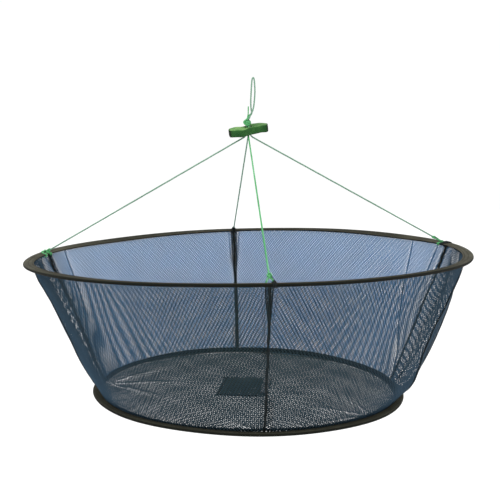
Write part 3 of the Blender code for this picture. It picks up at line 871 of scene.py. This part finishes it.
def seam_gather(builder, name, side):
    """The spare netting bunched beside a seam: short twines that cross closely within a strip."""
    top_w, bottom_w, reach = GATHERS[name]
    seam = TOP_SEAMS[CORNERS.index(name) % 4 + (4 if name == "front" and side < 0 else 0)]
    count = round(reach * 50)
    for lean in (1, -1):
        for i in range(-3, count):
            t = np.linspace(0, 1, 7)
            s = (i + 4.0 * (t if lean > 0 else 1 - t)) / count * reach
            s = np.clip(s, 0.004, reach)
            width = (top_w + (bottom_w - top_w) * np.sqrt(s / reach)) * MM
            u = seam + side * np.degrees(width * t / NET_TOP_R)
            ripple = 1.2 * MM + 1.3 * MM * np.sin(t * 9 + i * 1.7) * (0.3 + t)
            outward = around(1.0, 0.0, u)
            path = wall_point(u, s) - outward * ripple[:, None]
            twine(builder, path, outward, lean, GATHER_TWINE_R)


def make_wall(materials):
    """Four panels of diamond netting, twine by twine."""
    names = ("front_right", "back_right", "back_left", "front_left")
    height = math.hypot(TOP_Z - BOTTOM_Z, TOP_R - BOTTOM_R)
    for index, name in enumerate(names):
        builder = Builder()
        wall_lattice(builder, index, height)
        obj = builder.piece(f"net_panel_{name}", materials["net"], WALL_BLEND, [f"side_net_{name}"])


def make_pleats(materials):
    """The doubled edge of the netting along each pleat, tapering where the pleat runs out, in the black cord colour
    as painted shade along the fold.
    """
    builder = Builder()
    for fold in FOLDS:
        if fold.overlap < PLEAT_OVERLAP or fold in SEAM_FOLDS:
            continue
        s = np.linspace(max(fold.start, 0.01), min(fold.end, 0.985), 70)
        azimuth = fold.azimuth(s)
        path = folded_wall(azimuth, s)[0] + around(1.5 * MM, 0.0, azimuth)
        t = np.linspace(0, 1, len(s))
        thin = 0.35 + 0.65 * (ease(t / 0.2) * ease((1 - t) / 0.2) if fold.end < 1 else ease(t / 0.1))
        tube(builder, path, PLEAT_R * thin * (0.9 + 0.1 * np.sin(s * 70)), 6, tone=0.5)
    # Painted shade: the doubled edge takes the black cord, darker than the net, as the fold's dark line.
    builder.piece("net_pleats", materials["black"], WALL_BLEND)


FLOOR_R = BOTTOM_R - BAND_W + 3 * MM
FLOOR_LEAN = math.radians(42)
# (hub, spread, count, height, phase) of each fan of wrinkles in the floor net
WRINKLES = (
    ((-0.262, 0.01), 0.11, 8, 2.6 * MM, 0.4),
    ((0.205, -0.165), 0.07, 7, 2.6 * MM, 1.7),
    ((0.02, -0.262), 0.06, 6, 2.0 * MM, 0.2),
)


def floor_lift(x, y):
    """Height of the floor net's wrinkles."""
    lift = np.zeros_like(x)
    for hub, spread, count, size, phase in WRINKLES:
        dx, dy = x - hub[0], y - hub[1]
        away = np.hypot(dx, dy)
        ridge = np.clip(np.sin(count * np.arctan2(dy, dx) + phase), 0, 1) ** 4
        lift = lift + size * ridge * np.exp(-((away / spread) ** 2)) * ease(away / 0.015)
    edge = ease((BOTTOM_R - BAND_W + 2 * MM - np.hypot(x, y)) / 0.02)
    return lift * edge + 0.6 * MM * np.sin(x * 60) * np.sin(y * 47 + 1) * edge


def make_floor_net(materials):
    """The floor's netting, laid diagonally."""
    builder = Builder()
    count = int(FLOOR_R / FLOOR_MESH)
    for lean in (1, -1):
        direction = np.array([math.cos(FLOOR_LEAN), lean * math.sin(FLOOR_LEAN)])
        sideways = np.array([-direction[1], direction[0]])
        for k in range(-count, count + 1):
            offset = k * FLOOR_MESH
            half = math.sqrt(max(FLOOR_R**2 - offset**2, 0))
            if half < 5 * MM:
                continue
            t = np.linspace(-half, half, max(4, round(2 * half / FLOOR_STEP)))
            bend = 1.2 * MM * np.sin(t * 19 + k * 0.05)
            xy = direction * t[:, None] + sideways * (offset + bend)[:, None]
            z = FLOOR_Z + floor_lift(xy[:, 0], xy[:, 1])
            twine(builder, np.column_stack([xy, z]), UP, lean, FLOOR_TWINE_R)
    obj = builder.piece("floor_netting", materials["floor"], "bottom_hoop", ["floor_net"])


def make_wall_hem(materials):
    """The dark binding along the foot of the wall, deepest at the back and on the right."""
    degrees = np.linspace(-180, 180, TAPE_STEPS, endpoint=False)
    turn = np.radians(degrees)
    deep = (5.6 + 2.0 * np.sin(turn) + 1.2 * np.cos(turn) + 0.4 * np.sin(7 * turn)) * MM
    radius, foot, thick = NET_BOTTOM_R - 1.2 * MM, BOTTOM_Z + 1.2 * MM, 0.9 * MM
    lean = (TOP_R - BOTTOM_R) / (TOP_Z - BOTTOM_Z)
    rings = []
    for out, share in ((-thick, 0.0), (thick, 0.0), (thick, 1.0), (0.0, 1.12), (-thick, 1.0)):
        rings.append(around(radius + out + deep * share * lean, foot + deep * share, degrees))
    values = np.zeros((TAPE_STEPS, len(rings), 3))
    values[:, :, 0] = (turn * radius)[:, None]
    values[:, :, 1] = np.arange(len(rings)) * 2 * MM
    builder = Builder()
    faces = ring_faces(TAPE_STEPS, len(rings), turned=True)
    builder.add(np.stack(rings, axis=1), faces, values.reshape(-1, 3))
    builder.piece("wall_hem", materials["hem"], "bottom_hoop")


def make_seams(materials):
    """A twisted dark cord down each seam, with the panels' selvedges rolled beside it."""
    for index, name in enumerate(CORNERS):
        s = np.linspace(0.0, 1.0, 90)
        u = np.full_like(s, TOP_SEAMS[index])
        line = wall_point(u, s)
        inward = -around(1.0, 0.0, u)
        aside = np.cross(inward, UP)
        builder = Builder()
        drift = aside * (0.9 * MM * np.sin(s * 17 + index))[:, None]
        twisted_cord(builder, line + inward * (1.6 * MM) + drift, FINE_R, 7 * MM, 2, 1.6 * MM, 5)
        for side in (-1, 1):
            roll = line + drift + aside * side * (1.1 * MM + 0.4 * MM * np.sin(s * 60 + side))[:, None]
            tube(builder, resample(roll, 3 * MM), SELVEDGE_R, 5, tone=0.4)
            seam_gather(builder, name, side)
        builder.piece(f"seam_{name}", materials["black"], WALL_BLEND, [f"seam_cord_{name}"])


# ---- bridle

# How each leg is tied on: the hitch's length and half width, the knot's size, in millimetres
HITCHES = {"front": (15.0, 5.5, 1.2), "right": (21.0, 2.6, 0.75), "back": (6.0, 3.0, 1.1), "left": (5.0, 2.5, 1.0)}
TIE_IN = 11 * MM  # how far in from the tape's outer edge a leg comes down
LEG_BEND = 7 * MM  # how far from its corner a leg starts to turn up into the float's hole


def rim_point(name, along, inward, height):
    """A point on the upper hoop's tape, a distance along the hoop from a corner's knot."""
    degrees = bearing(EYE_AT[name]) + np.degrees(np.asarray(along) / TOP_R)
    return band_point(TOP_R, TOP_Z, degrees, inward, height, TOP_SEED)


def tie_point(name):
    """Where a leg's line meets the tape."""
    return rim_point(name, 0.0, TIE_IN, 3 * MM)


def leg_direction(name):
    """From the tape up the leg."""
    corner = np.array([*LEG_HIGH[name][:2], LEGS_MEET_Z])
    return unit(corner - hang([tie_point(name)])[0])


def knot_place(name):
    """The middle of a leg's knot."""
    return tie_point(name) + leg_direction(name) * HITCHES[name][0] * MM


def leg_line(name):
    """A leg from the haul knot down the float's hole and straight to its knot at the tape."""
    high = LEG_HIGH[name]
    corner = np.array([high[0], high[1], LEGS_MEET_Z])
    start, end = corner - leg_direction(name) * LEG_BEND, corner + UP * LEG_BEND
    t = np.linspace(0, 1, 9)[:, None]
    bend = start * (1 - t) ** 2 + 2 * corner * t * (1 - t) + end * t**2
    low = hang([tie_point(name)])[0] + leg_direction(name) * (HITCHES[name][0] + 3) * MM
    return np.vstack([resample(np.array([low, start]), 8 * MM)[:-1], bend, [high]])[::-1]


def make_legs(materials):
    """The four legs as laid cord; only the front one still has its bright colour."""
    for name in CORNERS:
        builder = Builder()
        line = twisted_cord(builder, leg_line(name))
        paint = materials["green" if name == "front" else "worn"]
        blend = ("haul_head", "top_hoop", (0, 0, LEGS_MEET_Z), (0, 0, line[-1][2]))
        obj = builder.piece(f"leg_cord_{name}", paint, blend, [f"bridle_leg_{name}"], hung=False)


def knot_line(centre, axis, size, stretch):
    """An overhand knot's closed line, drawn out along an axis."""
    t = np.linspace(0, 2 * math.pi, 80, endpoint=False)
    lobes = [np.sin(t) + 2 * np.sin(2 * t), np.cos(t) - 2 * np.cos(2 * t), -1.3 * np.sin(3 * t)]
    axis = unit(np.asarray(axis, float))
    side = unit(np.cross(axis, (0.2, 0.9, 0.1)))
    third = np.cross(axis, side)
    line = lobes[0][:, None] * stretch * axis + lobes[1][:, None] * side + lobes[2][:, None] * third
    return centre + np.vstack([line, line[:1]]) * size


def band_wrap(name, along, clear, turns, pitch):
    """Turns of cord round the tape beside a corner: from its top inner edge, out and under."""
    inner, high, low = BAND_W, TAPE_BULGE_R + clear, -TAPE_BULGE_R - clear
    girth = [(inner * 0.55, 1.9 * MM + clear), (3 * MM, high), (-clear, 0.0), (3 * MM, low)]
    girth += [(inner * 0.55, -2.0 * MM - clear), (inner + clear, 0.2 * MM)]
    points = []
    for i in range(round(turns * len(girth)) + 1):
        inward, height = girth[i % len(girth)]
        points.append(rim_point(name, along + pitch * i / len(girth), inward, height))
    return smooth_line(points, 1.5 * MM)


def tie_leg(name, green):
    """A leg's knot and the two parts of its hitch, which go round the tape's inner edge."""
    _, half, size = HITCHES[name]
    up_leg, knot_at = leg_direction(name), knot_place(name)
    builder = Builder()
    tube(builder, resample(knot_line(knot_at, up_leg, size * MM, 1.6), 1 * MM), 1.25 * MM, 7)
    builder.piece(f"knot_{name}", green, "top_hoop", [f"leg_knot_{name}"])
    builder = Builder()
    for side in (-1, 1):
        along = side * half * MM
        bow = rim_point(name, along * 1.15, TIE_IN, 3 * MM) * 0.55 + knot_at * 0.45
        route = [knot_at - up_leg * 2 * MM, bow, rim_point(name, along, TIE_IN, 3.2 * MM)]
        route += [rim_point(name, along * 0.9, BAND_W + 1.4 * MM, 1 * MM)]
        route += [rim_point(name, along * 0.8, BAND_W + 0.8 * MM, -2.4 * MM)]
        twisted_cord(builder, smooth_line(route, 1.2 * MM), CORD_R)
    if name == "left":
        route = [rim_point(name, x * MM, y * MM, z * MM) for x, y, z in LEFT_RUN]
        twisted_cord(builder, smooth_line(route, 1.2 * MM), CORD_R)
    builder.piece(f"hitch_{name}", green, "top_hoop", [f"leg_hitch_{name}"])


# (along the hoop, inward, height) of the leg's spare end along the tape at the left corner
LEFT_RUN = ((0, 9, 7), (4, 8, 5), (10, 7, 4.6), (17, 9, 4.2))
LEFT_RUN += ((21, 13, 3.4), (23, 20.4, 1), (24, 19, -3), (25, 10, -3.5))
# (where it starts, turns, pitch) of each corner's black lashing, in millimetres
LASHINGS = {"front": (2.5, 3, 2.2), "right": (-19.0, 8, 2.3), "back": (-4.0, 4, 2.2), "left": (-6.0, 2, 2.3)}


def make_lashing(name, materials):
    """Black cord wrapped round the tape beside the hitch, with a short tail up to the knot."""
    start, turns, pitch = LASHINGS[name]
    builder = Builder()
    lash = band_wrap(name, start * MM, 1.0 * MM, turns, pitch * MM)
    twisted_cord(builder, lash, FINE_R, 6 * MM, 2)
    knot_at = knot_place(name)
    foot = rim_point(name, 6.5 * MM if name == "front" else 1.5 * MM, 10 * MM, 3.2 * MM)
    tail = [foot, foot * 0.5 + knot_at * 0.5 + np.array([1.2, 0, 0]) * MM, knot_at + np.array([2.2, 0, 1]) * MM]
    twisted_cord(builder, smooth_line(tail, 1.5 * MM), 1.3 * MM, 6 * MM, 2)
    tube(builder, resample(knot_line(foot, (0, 0, 1), 0.8 * MM, 1.0), 1 * MM), 1.0 * MM, 6)
    builder.piece(f"lashing_{name}", materials["black"], "top_hoop", [f"hoop_tab_{name}"])


def make_corners(materials):
    """At each corner the leg's knot and hitch, and a black lashing."""
    for name in CORNERS:
        tie_leg(name, materials["black" if name == "back" else "green"])
        make_lashing(name, materials)


# ---- float, haul knot and loop

# The float's S-shaped plan, in millimetres: its front side from the left, then its back side from the right
FLOAT_PLAN = ((-36, -3), (-35, -9), (-26, -15.5), (-15, -18), (-6, -16), (2, -10.5), (10, -7.5), (24, -7.5))
FLOAT_PLAN += ((34, -6.5), (36.3, 1), (36, 7), (27, 14), (15, 18), (6, 16), (-2, 10.5), (-10, 7.5), (-24, 8))
FLOAT_PLAN += ((-34, 6),)
FLOAT_TURNS = (15.0, -8.0, 8.0)  # degrees about X, Y and Z
FLOAT_HALF_H = 6.5 * MM
FLOAT_HOLE_R = 6.9 * MM


def float_outline(u):
    """(x, y) of the float's S-shaped plan at shares of a turn."""
    plan = np.array(FLOAT_PLAN) * MM
    count = len(plan)
    i = np.floor(u * count).astype(int)
    t = (u * count - i)[:, None]
    a, b, c, d = (plan[(i + k) % count] for k in (-1, 0, 1, 2))
    return 0.5 * (2 * b + (c - a) * t + (2 * a - 5 * b + 4 * c - d) * t**2 + (3 * b - a - 3 * c + d) * t**3)


def float_rotation():
    """The turn that the float hangs at."""
    x, y, z = (math.radians(a) for a in FLOAT_TURNS)
    turn_x = np.array([[1, 0, 0], [0, math.cos(x), -math.sin(x)], [0, math.sin(x), math.cos(x)]])
    turn_y = np.array([[math.cos(y), 0, math.sin(y)], [0, 1, 0], [-math.sin(y), 0, math.cos(y)]])
    turn_z = np.array([[math.cos(z), -math.sin(z), 0], [math.sin(z), math.cos(z), 0], [0, 0, 1]])
    return turn_z @ turn_y @ turn_x


def make_float(materials):
    """The foam block: an S-shaped slab with soft edges and a bore, tilted as it hangs."""
    count = 144
    u = np.arange(count) / count
    outline = float_outline(u)
    hole = np.stack([np.cos(2 * math.pi * u + 3.4), np.sin(2 * math.pi * u + 3.4)], axis=1) * FLOAT_HOLE_R
    levels = [(-1.0, 0.0), (-1.0, 0.55), (-1.0, 0.92), (-0.94, 0.975), (-0.7, 0.998), (-0.3, 1.0), (0.3, 1.0)]
    levels += [(0.7, 0.998), (0.94, 0.975), (1.0, 0.92), (1.0, 0.55), (1.0, 0.0)]
    rings, tones = [], []
    for height, share in levels:
        xy = hole + (outline - hole) * share
        dent = 0.5 * MM * np.sin(xy[:, 0] * 260 + height) + 0.35 * MM * np.sin(xy[:, 1] * 410)
        z = height * FLOAT_HALF_H + dent * (share > 0.05) * np.sign(height) * (abs(height) > 0.9)
        rings.append(np.column_stack([xy, z]))
        # Painted light: the upward face paler, most towards its left half.
        face = (0.35 + 0.65 * ease((0.012 - xy[:, 0]) / 0.02)) * (height > 0.97)
        # Dark at the cut ends; painted shade on the underside.
        cut = ease((np.abs(xy[:, 0]) - 30 * MM) / (5 * MM)) * (share > 0.93)
        tones.append(np.column_stack([face, xy[:, 0], np.maximum(cut, 0.55 * (height < -0.9))]))
    builder = Builder()
    points = np.vstack(rings) @ float_rotation().T + UP * FLOAT_AT[2]
    builder.add(points, ring_faces(len(levels), count), np.vstack(tones))
    obj = builder.piece("foam_float", materials["foam"], "float", ["float"], hung=False)


KNOT_CORD_R = 1.7 * MM
KNOT_ASIDE = -1.8 * MM  # how far to the left of the float's hole the knot sits
# The knot's turn across its front, the one behind and its tail, in millimetres from its foot
KNOT_CROSSING = ((1, -3.5, 0), (-4.5, -3.5, 3), (-6.0, -3.5, 7), (-1.5, -4.5, 10.5), (1.5, -2, 14), (4.0, 0.5, 18))
KNOT_BEHIND = ((-1, 3, 0), (4.5, 3, 3), (5.0, 3.0, 7), (1.5, 3.0, 11), (0.5, 1.5, 14), (5.5, -1, 20))
KNOT_TAIL = ((-1, 0, 9), (0.5, -1, 15), (1.5, -1.2, 22), (1.8, -1, 34))


def make_haul_knot(materials):
    """The stopper knot on the float: three wraps, a crossing turn on each side, and a short tail."""
    builder = Builder()
    t = np.linspace(0, 1, 70)
    radius = (3.6 + 0.9 * np.sin(math.pi * t)) * MM
    wraps = around(radius, KNOT_FOOT_Z + (1.5 + 8 * t) * MM, -90 + 2.9 * 360 * t)
    twisted_cord(builder, wraps, KNOT_CORD_R, 9 * MM)
    for route, cord_r, lay in (
        (KNOT_CROSSING, KNOT_CORD_R, 9 * MM),
        (KNOT_BEHIND, KNOT_CORD_R, 9 * MM),
        (KNOT_TAIL, 1.2 * MM, 7 * MM),
    ):
        line = smooth_line(np.array(route) * MM + (0, 0, KNOT_FOOT_Z), 1.1 * MM)
        twisted_cord(builder, line, cord_r, lay)
    obj = builder.make("stopper_knot", materials["green"], hung=False)
    obj.location.x = KNOT_ASIDE
    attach(obj, "haul_head")
    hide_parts("haul_knot")


# The haul loop's route up from the knot and back down to it: (across, towards the back, height), in millimetres
LOOP_ROUTE = ((0.5, -1.6, -73), (3, -1.8, -68), (6, 0, -64), (5.6, 1.6, -59), (4.6, 1, -52), (4.4, 0.2, -40))
LOOP_ROUTE += ((5, 0, -26), (5.8, 0, -12), (6.8, 0, -3), (8.6, 0, 0.2), (10.2, 0, -2.6), (11.2, 0, -11))
LOOP_ROUTE += ((11.8, 0, -24), (11, 0, -38), (9.6, -0.6, -51), (7.6, -1.7, -59), (4.6, -1, -64))
LOOP_ROUTE += ((3.2, 1.6, -68), (1.2, 1.7, -73))


def make_haul_loop(materials):
    """The loop above the knot: its two sides cross at the foot and stand a little apart above."""
    builder = Builder()
    line = smooth_line(np.array(LOOP_ROUTE) * MM, 1.5 * MM)
    path = twisted_cord(builder, line, CORD_R)
    obj = builder.piece("loop_cord", materials["worn"], "haul_head", ["haul_loop"], hung=False)


# ---- bait pocket

POUCH_TURN = math.radians(-5)
CREASE_SHARE = 0.45  # how far along the pocket its flap starts
FOOT_X = 17 * MM  # the flap's length beyond the pocket's mouth
POCKET_MESH = 4 * MM
POCKET_LAYER = 1.3 * MM  # how far the second layer's meshes are set off from the first's


def pouch_size():
    """(length along X, length along Y, height) of the pocket, which stands turned in its node's box."""
    low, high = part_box("bait_pouch")
    w, h, tall = (high[i] - low[i] for i in range(3))
    c, s = math.cos(POUCH_TURN), -math.sin(POUCH_TURN)
    return (w * c - h * s) / (c * c - s * s), (h * c - w * s) / (c * c - s * s), tall


POUCH_X, POUCH_Y, POUCH_H = pouch_size()
POUCH_AT = np.array([*middle("bait_pouch")[:2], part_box("bait_pouch")[0][2]])
CREASE_X = POUCH_X * (CREASE_SHARE - 0.5)


def pouch_place(x, y, z):
    """Points given in the pocket's own frame."""
    c, s = math.cos(POUCH_TURN), math.sin(POUCH_TURN)
    return np.stack([POUCH_AT[0] + x * c - y * s, POUCH_AT[1] + x * s + y * c, POUCH_AT[2] + z], axis=-1)


def pouch_height(x, y):
    """Height of the pocket's upper layer: puffed in the middle, ruffled towards its mouth."""
    across = np.clip(1 - (np.abs(y) / (POUCH_Y / 2)) ** 4, 0, 1)
    from_back = ease((x + POUCH_X / 2) / (22 * MM))
    to_foot = ease((POUCH_X / 2 + 14 * MM - x) / (24 * MM))
    puff = (POUCH_H - 2.5 * MM) * across * from_back * to_foot
    ruffle = 1.6 * MM * np.sin(y * 260 + x * 90) * ease((x - 5 * MM) / (30 * MM)) * across
    crumple = 0.9 * MM * np.sin(x * 150 + y * 120) * across * from_back
    return 1.4 * MM + np.maximum(puff + ruffle + crumple, 0)


def pouch_netting(builder, shift):
    """One layer of fine netting over the pocket, from its back edge to the foot of its mouth."""
    x0, x1 = -POUCH_X / 2, POUCH_X / 2 + FOOT_X
    y0, y1 = -POUCH_Y / 2, POUCH_Y / 2
    count = int((x1 - x0 + y1 - y0) / POCKET_MESH)
    for lean in (1, -1):
        for k in range(-count, count):
            t = np.linspace(0, y1 - y0, 46)
            x = x0 + k * POCKET_MESH + shift + lean * t
            inside = (x >= x0) & (x <= x1)
            if inside.sum() < 3:
                continue
            x, y = x[inside], y0 + t[inside]
            z = pouch_height(x, y) + shift * 0.5 + 0.28 * MM * lean
            tube(builder, pouch_place(x, y, z), TWINE_R, 3, UP)


def make_pouch(materials):
    """The bait pocket's doubled netting, its rolled hem and its flap's free edge."""
    builder = Builder()
    pouch_netting(builder, 0.0)
    pouch_netting(builder, POCKET_LAYER)
    start, end = (pouch_place(CREASE_X + side * 8 * MM, 0, 0) for side in (-1, 1))
    blend, nodes = ("bottom_hoop", "pouch_flap", start, end), ["bait_pouch", "pouch_flap"]
    cloth = builder.piece("pocket_netting", materials["pocket"], blend, nodes)
    hx, hy = POUCH_X / 2, POUCH_Y / 2
    route = [(hx, hy + 2 * MM), (0, hy + 2.6 * MM), (-hx - 1 * MM, hy + 2 * MM), (-hx - 2.5 * MM, hy)]
    route += [(-hx - 2 * MM, 0), (-hx - 2.5 * MM, -hy), (-hx - 1 * MM, -hy - 2 * MM)]
    route += [(0, -hy - 3 * MM), (hx, -hy - 2 * MM)]
    line = smooth_line([pouch_place(x, y, 1.6 * MM) for x, y in route], 2 * MM)
    builder = Builder()
    tube(builder, line, 1.9 * MM + 0.25 * MM * np.sin(travel(line) * 700), 8)
    builder.piece("pocket_hem", materials["hem"], "bottom_hoop", ["pouch_binding"])
    y = np.linspace(-hy, hy, 60)
    x = hx + FOOT_X + 1.2 * MM * np.sin(y * 130)
    line = pouch_place(x, y, 3.0 * MM + 0.5 * MM * np.sin(y * 210))
    builder = Builder()
    tube(builder, line, 1.3 * MM, 7)
    builder.piece("flap_hem", materials["hem"], "pouch_flap")


# ---- assembly


def dress(node, material):
    """Gives a carried-over CAD node its finished material."""
    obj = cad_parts[node]
    obj.data.materials.clear()
    obj.data.materials.append(material)


def main():
    """Builds the camera, the cords, the studio and then every other piece."""
    make_camera()
    materials = make_materials()
    make_legs(materials)
    make_haul_loop(materials)
    make_studio()
    for label in HOOPS:
        make_sleeve(label, materials["tape"])
        make_stitches(label, materials["stitch"])
        make_wire(label, materials["steel"])
    make_wall(materials)
    make_floor_net(materials)
    make_wall_hem(materials)
    make_pleats(materials)
    make_seams(materials)
    make_corners(materials)
    make_float(materials)
    make_haul_knot(materials)
    make_pouch(materials)
    dress("fastener_loop_strip", materials["fastener"])
    dress("fastener_hook_strip", materials["fastener"])


main()

bpy.context.view_layer.update()
